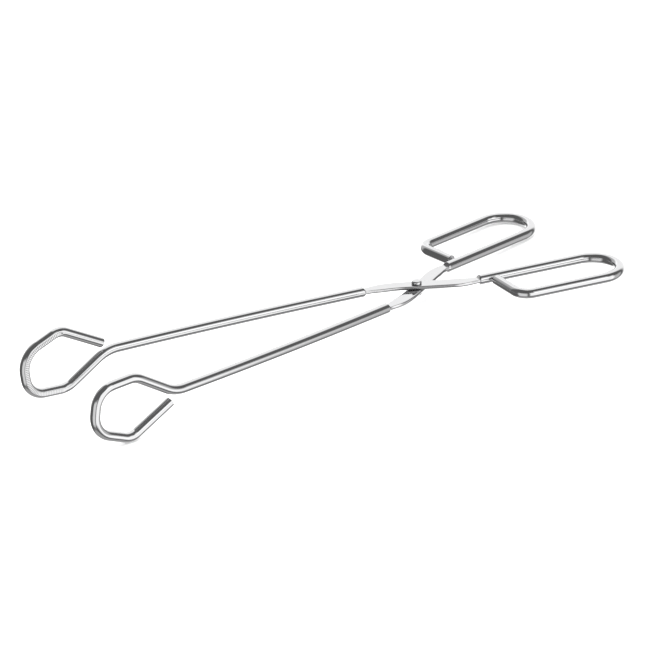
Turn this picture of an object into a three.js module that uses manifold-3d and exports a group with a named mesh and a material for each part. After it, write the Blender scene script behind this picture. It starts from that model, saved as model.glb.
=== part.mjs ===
// Crucible tongs: two identical arms of bent round rod that cross at one rivet. Millimetres, +Z up.
//
// The origin is the centre of the flat end of the upper rivet head, and +Z is the pivot axis. The jaws point
// towards -X and the finger loops towards +X. The blades of the two arms meet at the middle plane. Each arm
// lies flat beside that plane, apart from its jaw loop, which stands upright across it. The lower arm is the
// upper arm turned half a turn about the middle plane's X axis.
import * as THREE from "three";
import { ConvexGeometry } from "three/addons/geometries/ConvexGeometry.js";
import { mergeVertices } from "three/addons/utils/BufferGeometryUtils.js";
import Module from "manifold-3d";

const wasm = await Module();
wasm.setup();

// ---- Driving dimensions ----------------------------------------------------------------------------------

const ROD_RADIUS = 3;
const ROD_SIDES = 16;
const BEND_STEP = THREE.MathUtils.degToRad(11); // turn between two sections of a bend
const MERGE_DISTANCE = 1e-4; // vertices closer than this are one vertex

// Blade: the flattened middle of an arm, its centre line seen from above. It passes through the pivot.
const BLADE_WIDTH = 8.4;
const BLADE_THICKNESS = 2.2;
const BLADE_GAP = 0.2; // between the faces of the two blades
const BLADE_SLOPE = THREE.MathUtils.degToRad(-30); // of the straight stretch over the pivot
const SHOULDER_LENGTH = 1; // from the round rod to the full blade
const SHOULDER_OVERLAP = 0.5; // how far a shoulder runs on into the rod and into the blade
const SHOULDER_RADIUS = 0.96 * ROD_RADIUS; // of its round end, just inside the rod
const BLADE_BEND_SHARE = 0.9; // how much of the way to the shoulder a bend of the blade takes up

// Shank: a shallow arc from the blade to the neck of the jaw loop. Angles are measured from -X towards +Y.
const SHANK_START = new THREE.Vector2(-29.9, 11.65);
const NECK = new THREE.Vector2(-193.4, 34);
const SHANK_SAGITTA = 1.3; // how far its middle stands outside the straight line
const SHANK_PIECES = 4; // straight pieces that its arc is drawn with
const JAW_HEADING = THREE.MathUtils.degToRad(1.4);

// Jaw loop, in its upright plane: distance past the neck, height over the shank, and bend radius.
const NECK_BEND = 25;
const JAW_CORNERS = [
  { along: 26.9, height: -16.3, bend: 15 },
  { along: 52.6, height: -14.7, bend: 12.7 },
  { along: 56.1, height: 10.3, bend: 14 },
  { along: 30.9, height: 20.1, bend: 10.8 },
];
const JAW_END = { along: 2.8, height: 5.2 };
const GRIP_DEPTH = 0.2; // how much the rod is pressed flat where it faces the other jaw
const GRIP_START = 30; // distance past the neck where the pressed face starts

// Finger loop, in the middle plane: distance past the blade along the loop, and distance outwards.
const LOOP_START = new THREE.Vector2(33.4, -15.73);
const LOOP_HEADING = THREE.MathUtils.degToRad(-9.9);
const LOOP_STRAIGHT = 64.4; // from the blade to the start of the round end
const LOOP_WIDTH = 32.4; // between the centre lines of the inner and the outer rod
const LOOP_CORNER = { along: 11.1, bend: 8.4 };
const LOOP_END = { along: 8.6, outwards: 4.8 };

// Rivet
const SHANK_RADIUS = 1.9;
const HOLE_CLEARANCE = 0.1;
const RIVET_SIDES = 32;
const HEAD_RADIUS = 3;
const HEAD_HEIGHT = 2.1;
const HEAD_FLAT_RADIUS = 2.1;
const HEAD_GAP = 0.1; // between a blade and the head that rests on it
const HEAD_EDGE_STEPS = 5; // in the quarter circle round the edge of a head

const BLADE_TOP = BLADE_GAP / 2 + BLADE_THICKNESS;
const AXIS_HEIGHT = BLADE_TOP - BLADE_THICKNESS / 2; // of an arm's rod over the middle plane
const RIVET_TOP = BLADE_TOP + HEAD_GAP + HEAD_HEIGHT;
const CUT_MARGIN = 5; // how far a cutting solid runs past what it cuts

// ---- Rod paths -------------------------------------------------------------------------------------------

// Points along straight lines through the corners, with an arc of the given radius at each inner corner.
function roundedPath(corners, bends) {
  const points = [corners[0].clone()];
  for (let i = 1; i < corners.length - 1; i++) {
    const corner = corners[i];
    const back = corners[i - 1].clone().sub(corner).normalize();
    const ahead = corners[i + 1].clone().sub(corner).normalize();
    const turn = Math.PI - back.angleTo(ahead);
    const toTangent = bends[i - 1] * Math.tan(turn / 2);
    const start = corner.clone().addScaledVector(back, toTangent);
    const inwards = back.clone().add(ahead).normalize();
    const centre = corner.clone().addScaledVector(inwards, bends[i - 1] / Math.cos(turn / 2));
    const spoke = start.sub(centre);
    const axis = ahead.clone().cross(back).normalize();
    const steps = Math.max(1, Math.ceil(turn / BEND_STEP));
    for (let k = 0; k <= steps; k++) {
      points.push(spoke.clone().applyAxisAngle(axis, (k / steps) * turn).add(centre));
    }
  }
  points.push(corners[corners.length - 1].clone());
  return points;
}

// A curve whose equal steps are the given points, so that a sweep has sections only where the rod bends.
class SteppedCurve extends THREE.Curve {
  constructor(points) {
    super();
    this.points = points;
  }
  getPointAt(u) {
    const last = this.points.length - 1;
    return this.points[Math.round(u * last)].clone();
  }
  getTangentAt(u) {
    const last = this.points.length - 1;
    const i = Math.round(u * last);
    const before = this.points[Math.max(0, i - 1)];
    const here = this.points[i];
    const after = this.points[Math.min(last, i + 1)];
    const tangent = new THREE.Vector3();
    if (i > 0) tangent.add(here.clone().sub(before).normalize());
    if (i < last) tangent.add(after.clone().sub(here).normalize());
    return tangent.normalize();
  }
}

function circlePoints(radius, sides) {
  const points = [];
  for (let i = 0; i < sides; i++) {
    const angle = ((i + 0.5) / sides) * 2 * Math.PI;
    points.push(new THREE.Vector2(radius * Math.cos(angle), radius * Math.sin(angle)));
  }
  return points;
}

function rodGeometry(points) {
  return new THREE.ExtrudeGeometry(new THREE.Shape(circlePoints(ROD_RADIUS, ROD_SIDES)), {
    steps: points.length - 1,
    extrudePath: new SteppedCurve(points),
  });
}

// ---- Solids ----------------------------------------------------------------------------------------------

function solidFrom(geometry) {
  const bare = geometry.index ? geometry.toNonIndexed() : geometry.clone();
  bare.deleteAttribute("normal");
  bare.deleteAttribute("uv");
  const merged = mergeVertices(bare, MERGE_DISTANCE);
  return new wasm.Manifold(
    new wasm.Mesh({
      numProp: 3,
      vertProperties: merged.attributes.position.array,
      triVerts: new Uint32Array(merged.index.array),
    }),
  );
}

function geometryFrom(solid) {
  const mesh = solid.getMesh();
  const geometry = new THREE.BufferGeometry();
  geometry.setAttribute("position", new THREE.BufferAttribute(mesh.vertProperties, 3));
  geometry.setIndex(new THREE.BufferAttribute(mesh.triVerts, 1));
  geometry.computeVertexNormals();
  return geometry;
}

function inPlane(angle) {
  return new THREE.Vector3(Math.cos(angle), Math.sin(angle), 0);
}

// ---- The arm, drawn as the upper arm with the middle plane at Z = 0 ---------------------------------------

const jawDirection = inPlane(Math.PI - JAW_HEADING);
const jawInwards = new THREE.Vector3(0, 0, 1).cross(jawDirection);

function jawPoint(along, height) {
  return new THREE.Vector3(NECK.x, NECK.y, AXIS_HEIGHT + height).addScaledVector(jawDirection, along);
}

// The shank's middle stands outside the straight line from the blade to the neck, along a parabola.
const shankStart = new THREE.Vector3(SHANK_START.x, SHANK_START.y, AXIS_HEIGHT);
const shankChord = new THREE.Vector3(NECK.x, NECK.y, AXIS_HEIGHT).sub(shankStart);
const shankOutwards = shankChord.clone().normalize().cross(new THREE.Vector3(0, 0, 1));

function shankPoint(share) {
  return shankStart
    .clone()
    .addScaledVector(shankChord, share)
    .addScaledVector(shankOutwards, 4 * SHANK_SAGITTA * share * (1 - share));
}

function shankStartDirection() {
  return shankChord.clone().addScaledVector(shankOutwards, 4 * SHANK_SAGITTA).normalize();
}

function jawRodPoints() {
  const shank = [];
  for (let i = 0; i < SHANK_PIECES; i++) shank.push(shankPoint(i / SHANK_PIECES));
  const corners = [
    shank[shank.length - 1],
    jawPoint(0, 0),
    ...JAW_CORNERS.map((c) => jawPoint(c.along, c.height)),
    jawPoint(JAW_END.along, JAW_END.height),
  ];
  const bends = [NECK_BEND, ...JAW_CORNERS.map((c) => c.bend)];
  return [...shank.slice(0, -1), ...roundedPath(corners, bends)];
}

const loopDirection = inPlane(LOOP_HEADING);
const loopOutwards = loopDirection.clone().cross(new THREE.Vector3(0, 0, 1));

function loopPoint(along, outwards) {
  return new THREE.Vector3(LOOP_START.x, LOOP_START.y, AXIS_HEIGHT)
    .addScaledVector(loopDirection, along)
    .addScaledVector(loopOutwards, outwards);
}

function loopRodPoints() {
  const endRadius = LOOP_WIDTH / 2;
  const steps = Math.ceil(Math.PI / BEND_STEP);
  const points = [loopPoint(0, 0)];
  for (let k = 0; k < steps; k++) {
    const angle = (k / steps) * Math.PI;
    points.push(loopPoint(LOOP_STRAIGHT + endRadius * Math.sin(angle), endRadius * (1 - Math.cos(angle))));
  }
  const corners = [
    loopPoint(LOOP_STRAIGHT, LOOP_WIDTH),
    loopPoint(LOOP_CORNER.along, LOOP_WIDTH),
    loopPoint(LOOP_END.along, LOOP_END.outwards),
  ];
  return [...points, ...roundedPath(corners, [LOOP_CORNER.bend])];
}

// The blade's centre line: it leaves each shoulder along its rod's heading, and round bends lead into the
// sloping line that passes through the pivot.
function bladeCentreLine() {
  const jawEnd = shankPoint(0).addScaledVector(shankStartDirection(), -SHOULDER_LENGTH);
  const loopEnd = loopPoint(-SHOULDER_LENGTH, 0);
  const jawCorner = crossingWithBlade(jawEnd, shankStartDirection());
  const loopCorner = crossingWithBlade(loopEnd, loopDirection);
  return roundedPath(
    [jawEnd, jawCorner, loopCorner, loopEnd],
    [bendReaching(jawCorner, jawEnd), bendReaching(loopCorner, loopEnd)],
  );
}

// Where the line through a point meets the straight stretch of the blade, which passes through the pivot.
function crossingWithBlade(point, direction) {
  const blade = inPlane(BLADE_SLOPE);
  const across = point.x * blade.y - point.y * blade.x;
  const closing = direction.x * blade.y - direction.y * blade.x;
  return point.clone().addScaledVector(direction, -across / closing);
}

// The radius of the bend at a corner of the blade that takes up its share of the length to the shoulder.
function bendReaching(corner, end) {
  const turn = inPlane(BLADE_SLOPE).angleTo(end.clone().sub(corner));
  const smallTurn = Math.min(turn, Math.PI - turn);
  return (BLADE_BEND_SHARE * corner.distanceTo(end)) / Math.tan(smallTurn / 2);
}

// A flat plate of the blade's width along its centre line.
function bladeSolid() {
  const line = bladeCentreLine();
  const curve = new SteppedCurve(line);
  const left = [];
  const right = [];
  line.forEach((point, i) => {
    const tangent = curve.getTangentAt(i / (line.length - 1));
    const side = new THREE.Vector3(-tangent.y, tangent.x, 0).multiplyScalar(BLADE_WIDTH / 2);
    left.push(new THREE.Vector2(point.x + side.x, point.y + side.y));
    right.push(new THREE.Vector2(point.x - side.x, point.y - side.y));
  });
  const outline = new THREE.Shape([...left, ...right.reverse()]);
  const plate = new THREE.ExtrudeGeometry(outline, { depth: BLADE_THICKNESS, bevelEnabled: false });
  return solidFrom(plate.translate(0, 0, BLADE_GAP / 2));
}

// The pressed shoulder between the round rod and the end of the blade. It runs a little way into both.
function shoulderSolid(rodEnd, towardsBlade) {
  const side = new THREE.Vector3(0, 0, 1).cross(towardsBlade);
  const at = (along, across, height) =>
    rodEnd
      .clone()
      .addScaledVector(towardsBlade, along)
      .addScaledVector(side, across)
      .setZ(height + AXIS_HEIGHT);
  const roundEnd = circlePoints(SHOULDER_RADIUS, ROD_SIDES);
  const points = roundEnd.map((p) => at(-SHOULDER_OVERLAP, p.x, p.y));
  for (const along of [SHOULDER_LENGTH, SHOULDER_LENGTH + SHOULDER_OVERLAP]) {
    for (const across of [-BLADE_WIDTH / 2, BLADE_WIDTH / 2]) {
      points.push(at(along, across, -BLADE_THICKNESS / 2), at(along, across, BLADE_THICKNESS / 2));
    }
  }
  return solidFrom(new ConvexGeometry(points));
}

// The slab that presses the jaw loop flat where it faces the other jaw.
function gripCut() {
  const length = JAW_CORNERS[2].along + 2 * CUT_MARGIN - GRIP_START;
  const height = 2 * (JAW_CORNERS[3].height + ROD_RADIUS + CUT_MARGIN);
  const slab = new THREE.BoxGeometry(length, CUT_MARGIN, height);
  const basis = new THREE.Matrix4().makeBasis(jawDirection, jawInwards, new THREE.Vector3(0, 0, 1));
  const centre = jawPoint(GRIP_START + length / 2, 0);
  centre.addScaledVector(jawInwards, ROD_RADIUS - GRIP_DEPTH + CUT_MARGIN / 2);
  return solidFrom(slab.applyMatrix4(basis.setPosition(centre)));
}

function armGeometry() {
  const hole = new THREE.CylinderGeometry(
    SHANK_RADIUS + HOLE_CLEARANCE,
    SHANK_RADIUS + HOLE_CLEARANCE,
    2 * (BLADE_TOP + CUT_MARGIN),
    RIVET_SIDES,
  ).rotateX(Math.PI / 2);
  const arm = solidFrom(rodGeometry(jawRodPoints()))
    .subtract(gripCut())
    .add(shoulderSolid(shankPoint(0), shankStartDirection().negate()))
    .add(bladeSolid())
    .add(shoulderSolid(loopPoint(0, 0), loopDirection.clone().negate()))
    .add(solidFrom(rodGeometry(loopRodPoints())))
    .subtract(solidFrom(hole));
  return geometryFrom(arm);
}

// The rivet's profile from its lower end to its upper end, turned about the pivot axis.
function rivetGeometry() {
  const headFoot = BLADE_TOP + HEAD_GAP;
  const edgeRadius = HEAD_RADIUS - HEAD_FLAT_RADIUS;
  const profile = [new THREE.Vector2(0, -RIVET_TOP)];
  const upperHead = [new THREE.Vector2(SHANK_RADIUS, headFoot), new THREE.Vector2(HEAD_RADIUS, headFoot)];
  for (let k = 0; k <= HEAD_EDGE_STEPS; k++) {
    const angle = (k / HEAD_EDGE_STEPS) * (Math.PI / 2);
    const radius = HEAD_FLAT_RADIUS + edgeRadius * Math.cos(angle);
    upperHead.push(new THREE.Vector2(radius, RIVET_TOP - edgeRadius + edgeRadius * Math.sin(angle)));
  }
  const lowerHead = upperHead.map((p) => new THREE.Vector2(p.x, -p.y)).reverse();
  profile.push(...lowerHead, ...upperHead, new THREE.Vector2(0, RIVET_TOP));
  return new THREE.LatheGeometry(profile, RIVET_SIDES).rotateX(Math.PI / 2);
}

// ---- Assembly --------------------------------------------------------------------------------------------

function steel(color, roughness) {
  return new THREE.MeshStandardMaterial({ color, roughness, metalness: 1 });
}

const upperArm = new THREE.Mesh(armGeometry(), steel(0xd9dadb, 0.16));
upperArm.name = "upper_arm";

const lowerArm = new THREE.Mesh(armGeometry(), steel(0xd6d7d9, 0.17));
lowerArm.name = "lower_arm";
lowerArm.rotation.x = Math.PI;

const pivotRivet = new THREE.Mesh(rivetGeometry(), steel(0xcfd0d2, 0.22));
pivotRivet.name = "pivot_rivet";

const tongs = new THREE.Group();
tongs.position.z = -RIVET_TOP; // from the middle plane to the frame's origin on the rivet head
tongs.add(upperArm, lowerArm, pivotRivet);

export default tongs;
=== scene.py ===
from math import asin, atan2, ceil, cos, pi, radians, sin, tan
from typing import NamedTuple

import bpy
from mathutils import Matrix, Vector


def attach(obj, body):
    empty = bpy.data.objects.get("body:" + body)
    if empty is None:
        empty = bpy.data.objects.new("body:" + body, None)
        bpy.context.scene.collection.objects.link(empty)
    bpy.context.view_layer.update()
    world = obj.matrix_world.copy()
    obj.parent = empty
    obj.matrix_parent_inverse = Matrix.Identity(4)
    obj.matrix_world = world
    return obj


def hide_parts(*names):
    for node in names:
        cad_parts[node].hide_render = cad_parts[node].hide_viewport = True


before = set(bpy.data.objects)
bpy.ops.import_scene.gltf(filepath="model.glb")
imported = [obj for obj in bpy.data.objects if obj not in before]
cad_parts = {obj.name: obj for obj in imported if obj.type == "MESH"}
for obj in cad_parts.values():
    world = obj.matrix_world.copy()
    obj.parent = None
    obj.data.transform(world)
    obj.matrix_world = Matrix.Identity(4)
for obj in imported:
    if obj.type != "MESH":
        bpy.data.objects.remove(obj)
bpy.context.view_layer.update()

MM = 0.001
UP = Vector((0, 0, 1))

# ---- Sizes, in millimetres, the same as the CAD part's -------------------------------------------

ROD_RADIUS = 3

# Blade: the flattened middle of an arm, its centre line seen from above. It passes through the pivot.
BLADE_WIDTH = 8.4
BLADE_THICKNESS = 2.2
BLADE_GAP = 0.2  # between the faces of the two blades
BLADE_SLOPE = radians(-30)  # of the straight stretch over the pivot
BLADE_BEND_SHARE = 0.9  # how much of the way to the shoulder a bend of the blade takes up
SHOULDER_LENGTH = 1.0  # from the round rod to the full blade

# Shank: a shallow arc from the blade to the neck of the jaw loop. Its heading is measured from -X.
SHANK_START = Vector((-29.9, 11.65))
NECK = Vector((-193.4, 34))
SHANK_SAGITTA = 1.3  # how far its middle stands outside the straight line
JAW_HEADING = radians(1.4)

# Jaw loop, in its upright plane: distance past the neck, height over the shank, and bend radius. Most of
# the corners' numbers are rounded results of a fit of the centre line to the photo's outline.
NECK_BEND = 25
JAW_CORNERS = [(26.9, -16.3, 15), (52.6, -14.7, 12.7), (56.1, 10.3, 14), (30.9, 20.1, 10.8)]
JAW_END = (2.8, 5.2)

# Finger loop, in the middle plane: distance past the blade along the loop, and distance outwards.
LOOP_START = Vector((33.4, -15.73))
LOOP_HEADING = radians(-9.9)
LOOP_STRAIGHT = 64.4  # from the blade to the start of the round end
LOOP_WIDTH = 32.4  # between the centre lines of the inner and the outer rod
LOOP_CORNER_ALONG = 11.1
LOOP_CORNER_BEND = 8.4
LOOP_END = (8.6, 4.8)

# Rivet.
SHANK_RADIUS = 1.9
HOLE_RADIUS = 2.0
HEAD_RADIUS = 3.0
HEAD_HEIGHT = 2.1
HEAD_FLAT_RADIUS = 2.1
HEAD_GAP = 0.1  # between a blade and the head that rests on it

BLADE_TOP = BLADE_GAP / 2 + BLADE_THICKNESS
AXIS_HEIGHT = BLADE_TOP - BLADE_THICKNESS / 2  # of an arm's rod over the middle plane
RIVET_TOP = BLADE_TOP + HEAD_GAP + HEAD_HEIGHT

# ---- Finish of the visible mesh ------------------------------------------------------------------

OCTANT_POINTS = 8  # points in an eighth of a rod's section
BEND_STEP = radians(2)  # turn between two sections of a bend
EDGE_SHARPNESS = 6  # of the pressed edges of the blade: higher is sharper
CROWDING_BESIDE = 1.5  # how strongly points gather at a pressed edge, on the rod's side
CROWDING_ABOVE = 2  # and on its flat
BLADE_SIDE_RADIUS = 2.7  # half height of the ellipse that the blade's rounded sides belong to
BLADE_EDGE = asin(BLADE_THICKNESS / 2 / BLADE_SIDE_RADIUS)  # angle of its pressed edges on that ellipse
ROD_THICKNESS_LIMIT = 4 * ROD_RADIUS  # far outside the rod, so that it stays round
SHOULDER_THICKNESS_LIMIT = 2.2 * ROD_RADIUS  # where a shoulder starts to be pressed
SHOULDER_STEPS = 10
SHOULDER_MARGIN = 0.3  # to one more section of the round rod, so that its shading stays even
BLADE_NECK_WIDTH = 5.3  # of the blade where it leaves a shoulder, a little narrower than the rod
FLARE_LENGTH = 12  # over which the blade then grows to its full width
END_CHAMFER = 0.3

SHANK_SHARE = 0.85  # share of the shank that is drawn before the stretch with the neck's bend
SHANK_STEPS = 16

TOOTH_PITCH = 1.1
TOOTH_LAND = 0.7  # share of the pitch that is the flat top of a tooth
TOOTH_DEPTH = 0.14
GRIP_DEPTH = 0.2  # how much the rod is pressed flat where it faces the other jaw
GRIP_RUN_IN = 2.0  # length over which the flat runs out into the round rod
GRIP_RUN_IN_STEPS = 4
ROUNDING = 1e-6  # share of a pitch by which a tooth's first section may fall short
NO_GRIP_LIMIT = 2 * ROD_RADIUS  # outside the rod, so that nothing is pressed

HEAD_FOOT_ROUND = 0.35  # radius where a rivet head meets the blade
HEAD_CROWN = 0.12  # how far the middle of a head stands above its rim
HEAD_ROUND_STEPS = 8
CROWN_SHARES = (0.75, 0.5, 0.25)  # of the flat's radius, where the crown has rings
LATHE_SIDES = 64
CUTTER_MARGIN = 1  # how far the hole's cutter runs past the blades
SHARP_ANGLE = radians(28)

# ---- Paths ---------------------------------------------------------------------------------------


def rounded_path(corners, bends):
    """Points along straight lines through the corners, with an arc of the given radius at each bend."""
    points = [corners[0].copy()]
    for i in range(1, len(corners) - 1):
        corner = corners[i]
        back = (corners[i - 1] - corner).normalized()
        ahead = (corners[i + 1] - corner).normalized()
        turn = pi - back.angle(ahead)
        start = corner + back * bends[i - 1] * tan(turn / 2)
        centre = corner + (back + ahead).normalized() * bends[i - 1] / cos(turn / 2)
        axis = ahead.cross(back).normalized()
        steps = max(1, ceil(turn / BEND_STEP))
        for k in range(steps + 1):
            points.append(centre + Matrix.Rotation(turn * k / steps, 3, axis) @ (start - centre))
    points.append(corners[-1].copy())
    return points


def in_plane(angle):
    return Vector((cos(angle), sin(angle), 0))


def at_axis_height(point):
    return Vector((point.x, point.y, AXIS_HEIGHT))


jaw_direction = in_plane(pi - JAW_HEADING)
jaw_inwards = UP.cross(jaw_direction)
shank_start = at_axis_height(SHANK_START)
shank_chord = at_axis_height(NECK) - shank_start
shank_outwards = shank_chord.normalized().cross(UP)
loop_direction = in_plane(LOOP_HEADING)
loop_outwards = loop_direction.cross(UP)


def jaw_point(along, height):
    return at_axis_height(NECK) + jaw_direction * along + UP * height


def shank_point(share):
    """A point of the shank, which is a parabola over its chord."""
    return shank_start + shank_chord * share + shank_outwards * 4 * SHANK_SAGITTA * share * (1 - share)


def loop_point(along, outwards):
    return at_axis_height(LOOP_START) + loop_direction * along + loop_outwards * outwards


shank_start_direction = (shank_chord + shank_outwards * 4 * SHANK_SAGITTA).normalized()


def finger_loop_path():
    """From the free end of the return rod, round the loop, to the blade."""
    corners = [
        loop_point(*LOOP_END),
        loop_point(LOOP_CORNER_ALONG, LOOP_WIDTH),
        loop_point(LOOP_STRAIGHT, LOOP_WIDTH),
    ]
    points = rounded_path(corners, [LOOP_CORNER_BEND])
    radius = LOOP_WIDTH / 2
    steps = ceil(pi / BEND_STEP)
    for k in range(1, steps + 1):
        angle = pi - pi * k / steps
        points.append(loop_point(LOOP_STRAIGHT + radius * sin(angle), radius * (1 - cos(angle))))
    points.append(loop_point(0, 0))
    return points


def crossing_with_blade(point, direction):
    """Where a line meets the straight stretch of the blade, which passes through the pivot."""
    blade = in_plane(BLADE_SLOPE)
    across = point.x * blade.y - point.y * blade.x
    closing = direction.x * blade.y - direction.y * blade.x
    return point - direction * across / closing


def bend_reaching(corner, end):
    """The radius of a bend that takes up its share of the way from the corner to the end."""
    turn = in_plane(BLADE_SLOPE).angle(end - corner)
    return BLADE_BEND_SHARE * (end - corner).length / tan(min(turn, pi - turn) / 2)


def blade_path():
    """From the finger loop to the shank, without the two shoulders."""
    loop_end = loop_point(-SHOULDER_LENGTH, 0)
    jaw_end = shank_start - shank_start_direction * SHOULDER_LENGTH
    loop_corner = crossing_with_blade(loop_end, loop_direction)
    jaw_corner = crossing_with_blade(jaw_end, shank_start_direction)
    bends = [bend_reaching(loop_corner, loop_end), bend_reaching(jaw_corner, jaw_end)]
    return rounded_path([loop_end, loop_corner, jaw_corner, jaw_end], bends)


def shank_path():
    return [shank_point(SHANK_SHARE * i / SHANK_STEPS) for i in range(SHANK_STEPS)]


def jaw_loop_path():
    """From the far end of the shank, round the jaw loop, to its free end."""
    corners = [shank_point(SHANK_SHARE), jaw_point(0, 0)]
    corners += [jaw_point(along, height) for along, height, bend in JAW_CORNERS]
    corners.append(jaw_point(*JAW_END))
    return rounded_path(corners, [NECK_BEND] + [bend for along, height, bend in JAW_CORNERS])


# ---- The arm's sections, one after another along its whole length --------------------------------


def mix(a, b, share):
    return a + (b - a) * share


def smooth(share):
    share = min(1, max(0, share))
    return share * share * (3 - 2 * share)


def soft_limit(value, limit):
    """Value, held between plus and minus the limit with a small round edge."""
    return value / (1 + abs(value / limit) ** EDGE_SHARPNESS) ** (1 / EDGE_SHARPNESS)


def section_points(half_width, half_height, thickness, edge, grip_limit):
    """One section, pressed flat above and below to the thickness, and on the grip side to the limit.

    Points lie closer together near the pressed edges, which are at the angle edge from the side.
    """
    shares = [k / OCTANT_POINTS for k in range(OCTANT_POINTS)]
    beside = [edge * (1 - (1 - share) ** CROWDING_BESIDE) for share in shares]
    above = [edge + (pi / 2 - edge) * share**CROWDING_ABOVE for share in shares]
    quadrant = beside + above
    first = [(cos(a), sin(a)) for a in quadrant]
    second = [(-cos(a), sin(a)) for a in [pi / 2] + quadrant[:0:-1]]
    half = first + second
    points = []
    for x, y in half + [(-x, -y) for x, y in half]:
        flat_y = soft_limit(half_height * y, thickness / 2)
        points.append((min(half_width * x, grip_limit), flat_y))
    return points


class Route:
    """The centre line of an arm, with the distance along it."""

    def __init__(self, points):
        self.points = points
        self.distances = [0]
        for before, after in zip(points, points[1:]):
            self.distances.append(self.distances[-1] + (after - before).length)
        self.length = self.distances[-1]
        directions = [(after - before).normalized() for before, after in zip(points, points[1:])]
        joined = zip([directions[0]] + directions, directions + [directions[-1]])
        self.tangents = [(before + after).normalized() for before, after in joined]

    def at(self, distance):
        i = 1
        while i < len(self.distances) - 1 and self.distances[i] < distance:
            i += 1
        share = (distance - self.distances[i - 1]) / (self.distances[i] - self.distances[i - 1])
        point = self.points[i - 1].lerp(self.points[i], share)
        tangent = self.tangents[i - 1].lerp(self.tangents[i], share).normalized()
        return point, tangent


def arm_sections():
    """The vertices of each section of the upper arm, from the finger loop's free end to the jaw's."""
    finger = finger_loop_path()
    blade = blade_path()
    shank = shank_path()
    jaw = jaw_loop_path()
    route = Route(finger + blade + shank + jaw)
    loop_rod_end = route.distances[len(finger) - 1]
    shank_rod_start = route.distances[len(finger) + len(blade)]
    neck = route.distances[len(finger) + len(blade) + len(shank)]

    heights = [(p - at_axis_height(NECK)).dot(UP) for p in route.points]
    jaw_indices = range(len(route.points) - len(jaw), len(route.points))
    lowest = min(jaw_indices, key=lambda i: heights[i])
    highest = max(jaw_indices, key=lambda i: heights[i])
    grip_start = route.distances[lowest]
    grip_end = route.distances[highest]

    def pressed_share(distance):
        from_loop = (distance - loop_rod_end) / SHOULDER_LENGTH
        from_shank = (shank_rod_start - distance) / SHOULDER_LENGTH
        return min(1, max(0, min(from_loop, from_shank)))

    def half_width(distance, radius, pressed):
        if pressed < 1:
            return mix(radius, BLADE_NECK_WIDTH / 2, smooth(pressed))
        from_shoulder = min(distance - loop_rod_end, shank_rod_start - distance) - SHOULDER_LENGTH
        return mix(BLADE_NECK_WIDTH, BLADE_WIDTH, smooth(from_shoulder / FLARE_LENGTH)) / 2

    def thickness(pressed):
        if pressed > 0:
            return mix(SHOULDER_THICKNESS_LIMIT, BLADE_THICKNESS, pressed)
        return ROD_THICKNESS_LIMIT

    def grip_limit(distance):
        if distance < grip_start - GRIP_RUN_IN or distance > grip_end + GRIP_RUN_IN:
            return NO_GRIP_LIMIT
        outside = max(grip_start - distance, distance - grip_end, 0)
        land = ROD_RADIUS - GRIP_DEPTH * (1 - outside / GRIP_RUN_IN)
        if outside > 0:
            return land
        place = ((distance - grip_start) / TOOTH_PITCH) % 1
        if place < TOOTH_LAND or place > 1 - ROUNDING:
            return land
        from_groove = abs(place - (1 + TOOTH_LAND) / 2) / ((1 - TOOTH_LAND) / 2)
        return land - TOOTH_DEPTH * (1 - from_groove)

    stops = [d for d in route.distances if not grip_start <= d <= grip_end]
    stops += [END_CHAMFER, route.length - END_CHAMFER]
    stops += [loop_rod_end - SHOULDER_MARGIN, shank_rod_start + SHOULDER_MARGIN]
    for k in range(1, GRIP_RUN_IN_STEPS + 2):
        stops.append(grip_start - GRIP_RUN_IN * k / GRIP_RUN_IN_STEPS)
        stops.append(grip_end + GRIP_RUN_IN * k / GRIP_RUN_IN_STEPS)
    for k in range(1, SHOULDER_STEPS):
        stops.append(loop_rod_end + SHOULDER_LENGTH * k / SHOULDER_STEPS)
        stops.append(shank_rod_start - SHOULDER_LENGTH * k / SHOULDER_STEPS)
    teeth = int((grip_end - grip_start) / TOOTH_PITCH)
    for tooth in range(teeth):
        for place in (0, TOOTH_LAND, (1 + TOOTH_LAND) / 2):
            stops.append(grip_start + (tooth + place) * TOOTH_PITCH)
    stops.append(grip_start + teeth * TOOTH_PITCH)

    sections = []
    for distance in sorted(set(stops)):
        point, tangent = route.at(distance)
        if distance < neck:
            side = UP.cross(tangent).normalized()
        else:
            side = (jaw_inwards - tangent * jaw_inwards.dot(tangent)).normalized()
        lift = tangent.cross(side)
        to_end = min(distance, route.length - distance)
        radius = ROD_RADIUS - max(0, END_CHAMFER - to_end)
        pressed = pressed_share(distance)
        points = section_points(
            half_width(distance, radius, pressed),
            mix(radius, BLADE_SIDE_RADIUS, pressed),
            thickness(pressed),
            mix(pi / 4, BLADE_EDGE, pressed),
            grip_limit(distance),
        )
        sections.append([point + side * x + lift * y for x, y in points])
    return sections


# ---- Meshes --------------------------------------------------------------------------------------


def closed_mesh(name, vertices, faces):
    mesh = bpy.data.meshes.new(name)
    mesh.from_pydata(vertices, [], faces)
    mesh.validate()
    return mesh


def faces_between(near, far, count):
    """A ring of faces between two rings of vertices, given by the index of each ring's first one."""
    faces = []
    for k in range(count):
        after = (k + 1) % count
        faces.append((near + k, near + after, far + after, far + k))
    return faces


def mesh_from_sections(name, sections):
    """A closed mesh with a ring of faces between each two sections and a cap on each end."""
    vertices = [vertex * MM for section in sections for vertex in section]
    count = len(sections[0])
    last = (len(sections) - 1) * count
    faces = []
    for near in range(0, last, count):
        faces += faces_between(near, near + count, count)
    faces.append(tuple(reversed(range(count))))
    faces.append(tuple(range(last, last + count)))
    return closed_mesh(name, vertices, faces)


def add_object(name, mesh):
    piece = bpy.data.objects.new(name, mesh)
    bpy.context.scene.collection.objects.link(piece)
    return piece


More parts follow.
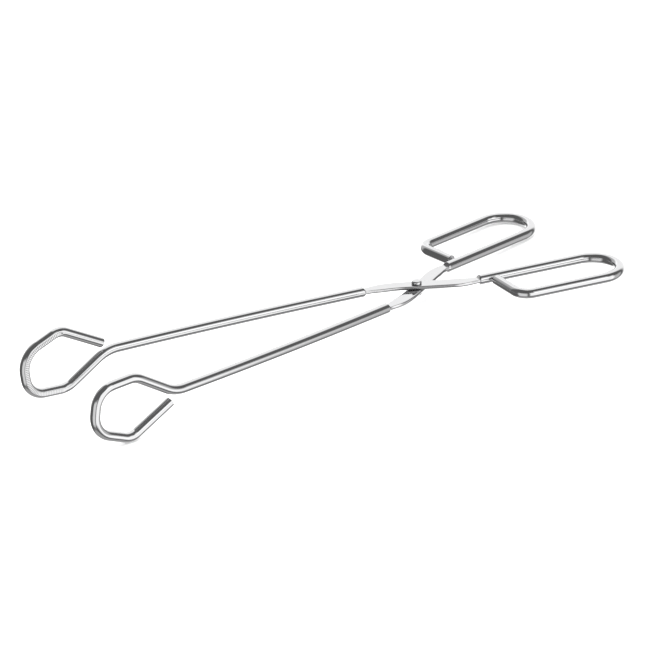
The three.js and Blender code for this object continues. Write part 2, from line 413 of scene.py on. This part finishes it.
def lathe_mesh(name, profile):
    """A closed mesh turned about the Z axis, from a profile of (radius, height) with both ends on it."""
    count = LATHE_SIDES
    vertices = [Vector((0, 0, profile[0][1])) * MM]
    for radius, height in profile[1:-1]:
        for k in range(count):
            angle = 2 * pi * k / count
            vertices.append(Vector((radius * cos(angle), radius * sin(angle), height)) * MM)
    vertices.append(Vector((0, 0, profile[-1][1])) * MM)
    first = 1
    last = len(vertices) - 1 - count
    faces = [(0, first + (k + 1) % count, first + k) for k in range(count)]
    for near in range(first, last, count):
        faces += faces_between(near, near + count, count)
    faces += [(last + k, last + (k + 1) % count, len(vertices) - 1) for k in range(count)]
    return closed_mesh(name, vertices, faces)


def cut_hole(piece):
    """Cuts the rivet's hole through an arm that is drawn about the middle plane."""
    depth = BLADE_TOP + CUTTER_MARGIN
    profile = [(0, -depth), (HOLE_RADIUS, -depth), (HOLE_RADIUS, depth), (0, depth)]
    cutter = add_object("cutter", lathe_mesh("cutter", profile))
    modifier = piece.modifiers.new("hole", "BOOLEAN")
    modifier.operation = "DIFFERENCE"
    modifier.solver = "EXACT"
    modifier.object = cutter
    graph = bpy.context.evaluated_depsgraph_get()
    cut = bpy.data.meshes.new_from_object(piece.evaluated_get(graph))
    piece.modifiers.clear()
    piece.data = cut
    bpy.data.objects.remove(cutter)


def smooth_with_sharp_edges(mesh):
    for polygon in mesh.polygons:
        polygon.use_smooth = True
    mesh.set_sharp_from_angle(angle=SHARP_ANGLE)


# ---- The pieces ----------------------------------------------------------------------------------


def make_arm(name, body, turned_over):
    """One arm, drawn about the middle plane and then lowered so that the rivet's top is the origin."""
    piece = add_object(name, mesh_from_sections(name, arm_sections()))
    cut_hole(piece)
    place = Matrix.Translation(UP * -RIVET_TOP * MM)
    if turned_over:
        place = place @ Matrix.Rotation(pi, 4, "X")
    piece.data.transform(place)
    smooth_with_sharp_edges(piece.data)
    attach(piece, body)
    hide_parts(body)
    return piece


def rivet_profile():
    """From the centre of the lower end to the centre of the upper one."""
    foot = BLADE_TOP + HEAD_GAP
    foot_radius = HEAD_RADIUS - HEAD_FOOT_ROUND
    edge = HEAD_RADIUS - HEAD_FLAT_RADIUS
    rim = RIVET_TOP - HEAD_CROWN
    angles = [pi / 2 * k / HEAD_ROUND_STEPS for k in range(1, HEAD_ROUND_STEPS + 1)]
    upper = [(SHANK_RADIUS, foot), (foot_radius, foot)]
    for angle in angles:
        radius = foot_radius + HEAD_FOOT_ROUND * sin(angle)
        upper.append((radius, foot + HEAD_FOOT_ROUND * (1 - cos(angle))))
    for angle in angles:
        upper.append((HEAD_FLAT_RADIUS + edge * cos(angle), rim - edge + edge * sin(angle)))
    for share in CROWN_SHARES:
        upper.append((HEAD_FLAT_RADIUS * share, RIVET_TOP - HEAD_CROWN * share * share))
    upper.append((0, RIVET_TOP))
    lower = [(radius, -height) for radius, height in reversed(upper)]
    return lower + upper


def make_rivet():
    piece = add_object("pivot_rivet_head_and_shank", lathe_mesh("rivet", rivet_profile()))
    piece.data.transform(Matrix.Translation(UP * -RIVET_TOP * MM))
    smooth_with_sharp_edges(piece.data)
    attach(piece, "lower_arm")
    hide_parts("pivot_rivet")
    return piece


# ---- Materials -----------------------------------------------------------------------------------

ARM_COLOUR = (0.62, 0.62, 0.625)
ARM_ROUGHNESS = (0.07, 0.12)
RIVET_COLOUR = (0.6, 0.6, 0.605)
RIVET_ROUGHNESS = (0.1, 0.16)
PATCH_SCALE = 260  # of the noise that the roughness follows
PATCH_DETAIL = 3
PATCH_RANGE = (0.3, 0.7)  # values of the noise that give the lowest and the highest roughness
WAVE_SCALE = 120  # of the noise that the relief follows
WAVE_DETAIL = 2
WAVE_STRENGTH = 0.05
WAVE_HEIGHT = 0.0004  # metres


def steel(name, colour, roughness_range):
    """Bright polished steel: its roughness varies in soft patches, and its surface has faint waves."""
    material = bpy.data.materials.new(name)
    material.use_nodes = True
    nodes, links = material.node_tree.nodes, material.node_tree.links
    shader = nodes["Principled BSDF"]
    shader.inputs["Base Color"].default_value = (*colour, 1)
    shader.inputs["Metallic"].default_value = 1
    place = nodes.new("ShaderNodeTexCoord")

    patches = nodes.new("ShaderNodeTexNoise")
    patches.inputs["Scale"].default_value = PATCH_SCALE
    patches.inputs["Detail"].default_value = PATCH_DETAIL
    links.new(place.outputs["Object"], patches.inputs["Vector"])
    roughness = nodes.new("ShaderNodeMapRange")
    roughness.inputs["From Min"].default_value = PATCH_RANGE[0]
    roughness.inputs["From Max"].default_value = PATCH_RANGE[1]
    roughness.inputs["To Min"].default_value = roughness_range[0]
    roughness.inputs["To Max"].default_value = roughness_range[1]
    links.new(patches.outputs["Fac"], roughness.inputs["Value"])
    links.new(roughness.outputs["Result"], shader.inputs["Roughness"])

    waves = nodes.new("ShaderNodeTexNoise")
    waves.inputs["Scale"].default_value = WAVE_SCALE
    waves.inputs["Detail"].default_value = WAVE_DETAIL
    links.new(place.outputs["Object"], waves.inputs["Vector"])
    relief = nodes.new("ShaderNodeBump")
    relief.inputs["Strength"].default_value = WAVE_STRENGTH
    relief.inputs["Distance"].default_value = WAVE_HEIGHT
    links.new(waves.outputs["Fac"], relief.inputs["Height"])
    links.new(relief.outputs["Normal"], shader.inputs["Normal"])
    return material


FLOOR_COLOUR = (0.9, 0.9, 0.9)
FLOOR_ROUGHNESS = 0.7


def floor_material():
    material = bpy.data.materials.new("pale_floor")
    material.use_nodes = True
    shader = material.node_tree.nodes["Principled BSDF"]
    shader.inputs["Base Color"].default_value = (*FLOOR_COLOUR, 1)
    shader.inputs["Roughness"].default_value = FLOOR_ROUGHNESS
    return material


# ---- The object ----------------------------------------------------------------------------------

arm_steel = steel("polished_steel", ARM_COLOUR, ARM_ROUGHNESS)
rivet_steel = steel("rivet_steel", RIVET_COLOUR, RIVET_ROUGHNESS)
upper_arm = make_arm("upper_arm_rod", "upper_arm", turned_over=False)
lower_arm = make_arm("lower_arm_rod", "lower_arm", turned_over=True)
rivet = make_rivet()
upper_arm.data.materials.append(arm_steel)
lower_arm.data.materials.append(arm_steel)
rivet.data.materials.append(rivet_steel)

# ---- Floor, light and camera ---------------------------------------------------------------------

FLOOR_HALF_WIDTH = 12  # metres
FLOOR_GAP = 0.0002  # metres, between the lowest point and the floor


def lowest_points():
    """The lowest point of the jaws, and the point of the loops that the floor under it meets first."""
    points = [v.co for piece in (upper_arm, lower_arm) for v in piece.data.vertices]
    jaw = min(points, key=lambda p: p.z)
    handles = [p for p in points if p.x > 0]
    loop = min(handles, key=lambda p: (p.z - jaw.z) / (p.x - jaw.x))
    return jaw.copy(), loop.copy()


def make_floor():
    """A plane just under the tongs, tilted so that it meets the lowest jaw loop and the finger loops."""
    corners = [(-1, -1), (1, -1), (1, 1), (-1, 1)]
    mesh = bpy.data.meshes.new("floor")
    mesh.from_pydata([Vector((x, y, 0)) * FLOOR_HALF_WIDTH for x, y in corners], [], [(0, 1, 2, 3)])
    floor = add_object("floor", mesh)
    jaw_low, loop_low = lowest_points()
    tilt = atan2(loop_low.z - jaw_low.z, loop_low.x - jaw_low.x)
    floor.matrix_world = Matrix.Translation(jaw_low - UP * FLOOR_GAP) @ Matrix.Rotation(-tilt, 4, "Y")
    floor.data.materials.append(floor_material())
    floor.visible_glossy = False


make_floor()


class Panel(NamedTuple):
    """A soft rectangle of directions that gives light. Angles are in degrees."""

    azimuth: float  # of its middle, from +Y towards +X
    half_width: float
    elevation: float  # of its middle
    half_height: float
    strength: float
    softness: float  # share of the half width and half height by which its edge spreads, to each side


# The studio that the steel reflects: a sky, a ground, and panels whose light is added to theirs.
SKY_LIGHT = 0.15
GROUND_LIGHT = 0.5
GROUND_EDGE = (-62, -48)  # elevations between which the ground turns into the sky, in degrees
LIGHT_PANELS = [
    Panel(azimuth=42, half_width=38, elevation=16, half_height=68, strength=1.16, softness=0.3),
    Panel(azimuth=-8, half_width=21, elevation=22, half_height=34, strength=0.5, softness=0.4),
    Panel(azimuth=168, half_width=33, elevation=-4, half_height=31, strength=1.3, softness=0.22),
    Panel(azimuth=165, half_width=10, elevation=32, half_height=14, strength=0.7, softness=0.4),
    Panel(azimuth=-117, half_width=27, elevation=-14, half_height=30, strength=0.85, softness=0.3),
    Panel(azimuth=120, half_width=20, elevation=-15, half_height=25, strength=0.55, softness=0.4),
]
FLOOR_LIGHT = 2.3  # even light, for all rays but reflections


class NodeMaker:
    """Adds nodes to a tree and joins their sockets."""

    def __init__(self, tree):
        self.nodes, self.links = tree.nodes, tree.links

    def feed(self, socket, value):
        if isinstance(value, bpy.types.NodeSocket):
            self.links.new(value, socket)
        else:
            socket.default_value = value

    def math(self, operation, *values):
        node = self.nodes.new("ShaderNodeMath")
        node.operation = operation
        for socket, value in zip(node.inputs, values):
            self.feed(socket, value)
        return node.outputs[0]

    def step(self, value, low, high):
        """0 below low and 1 above high, smooth between; from 1 to 0 where low is the greater."""
        node = self.nodes.new("ShaderNodeMapRange")
        node.interpolation_type = "SMOOTHSTEP"
        self.feed(node.inputs["Value"], value)
        node.inputs["From Min"].default_value = low
        node.inputs["From Max"].default_value = high
        return node.outputs["Result"]


def panel_share(make, direction, elevation, panel):
    """How far a direction lies in a panel: 1 in its middle, 0 outside it."""
    turned = make.nodes.new("ShaderNodeVectorRotate")
    turned.rotation_type = "Z_AXIS"
    turned.inputs["Angle"].default_value = radians(panel.azimuth)
    make.links.new(direction, turned.inputs["Vector"])
    parts = make.nodes.new("ShaderNodeSeparateXYZ")
    make.links.new(turned.outputs["Vector"], parts.inputs[0])
    across = make.math("ABSOLUTE", make.math("ARCTAN2", parts.outputs["X"], parts.outputs["Y"]))
    above = make.math("ABSOLUTE", make.math("SUBTRACT", elevation, radians(panel.elevation)))
    outer = 1 + panel.softness
    inner = 1 - panel.softness
    wide = make.step(across, radians(panel.half_width * outer), radians(panel.half_width * inner))
    high = make.step(above, radians(panel.half_height * outer), radians(panel.half_height * inner))
    return make.math("MULTIPLY", wide, high)


def make_studio():
    """Even white light for the floor, and a studio of soft panels for what the steel reflects."""
    world = bpy.context.scene.world or bpy.data.worlds.new("studio")
    bpy.context.scene.world = world
    world.use_nodes = True
    world.cycles.sampling_method = "NONE"
    make = NodeMaker(world.node_tree)
    direction = make.nodes.new("ShaderNodeTexCoord").outputs["Generated"]
    parts = make.nodes.new("ShaderNodeSeparateXYZ")
    make.links.new(direction, parts.inputs[0])
    elevation = make.math("ARCSINE", parts.outputs["Z"])

    sky_share = make.step(elevation, radians(GROUND_EDGE[0]), radians(GROUND_EDGE[1]))
    light = make.math("MULTIPLY_ADD", sky_share, SKY_LIGHT - GROUND_LIGHT, GROUND_LIGHT)
    for panel in LIGHT_PANELS:
        share = panel_share(make, direction, elevation, panel)
        light = make.math("MULTIPLY_ADD", share, panel.strength, light)

    path = make.nodes.new("ShaderNodeLightPath")
    chosen = make.nodes.new("ShaderNodeMix")
    make.links.new(path.outputs["Is Glossy Ray"], chosen.inputs["Factor"])
    chosen.inputs["A"].default_value = FLOOR_LIGHT
    make.links.new(light, chosen.inputs["B"])
    background = world.node_tree.nodes["Background"]
    background.inputs["Color"].default_value = (1, 1, 1, 1)
    make.links.new(chosen.outputs["Result"], background.inputs["Strength"])


make_studio()

# The camera. Its values are rounded results of the same fit to the photo as the jaw loop's corners.
# Distances are in metres, the lens and the sensor in millimetres.
AZIMUTH = radians(-35.0)
ELEVATION = radians(23.1)
ROLL = radians(-1.39)
DISTANCE = 5.03
LENS = 486.8
SENSOR = 36
CLIP_END = 100
AIM_FORWARD = 0.0048  # from the pivot towards the finger loops
AIM_RIGHT = -0.05819  # then across the picture
AIM_UP = -0.02147


def make_camera():
    """A long lens above the lower arm's side, turned a little about its own axis."""
    data = bpy.data.cameras.new("camera")
    data.lens = LENS
    data.sensor_width = SENSOR
    data.clip_end = CLIP_END
    camera = bpy.data.objects.new("camera", data)
    bpy.context.scene.collection.objects.link(camera)
    back = Vector((sin(AZIMUTH) * cos(ELEVATION), -cos(AZIMUTH) * cos(ELEVATION), sin(ELEVATION)))
    right = Vector((cos(AZIMUTH), sin(AZIMUTH), 0))
    up = back.cross(right)
    rolled_right = right * cos(ROLL) + up * sin(ROLL)
    rolled_up = up * cos(ROLL) - right * sin(ROLL)
    near_pivot = Vector((AIM_FORWARD, 0, -RIVET_TOP * MM))
    target = near_pivot + rolled_right * AIM_RIGHT + rolled_up * AIM_UP
    axes = Matrix((rolled_right, rolled_up, back)).transposed()
    camera.matrix_world = Matrix.Translation(target + back * DISTANCE) @ axes.to_4x4()
    bpy.context.scene.camera = camera


make_camera()
bpy.context.scene.view_settings.view_transform = "Standard"
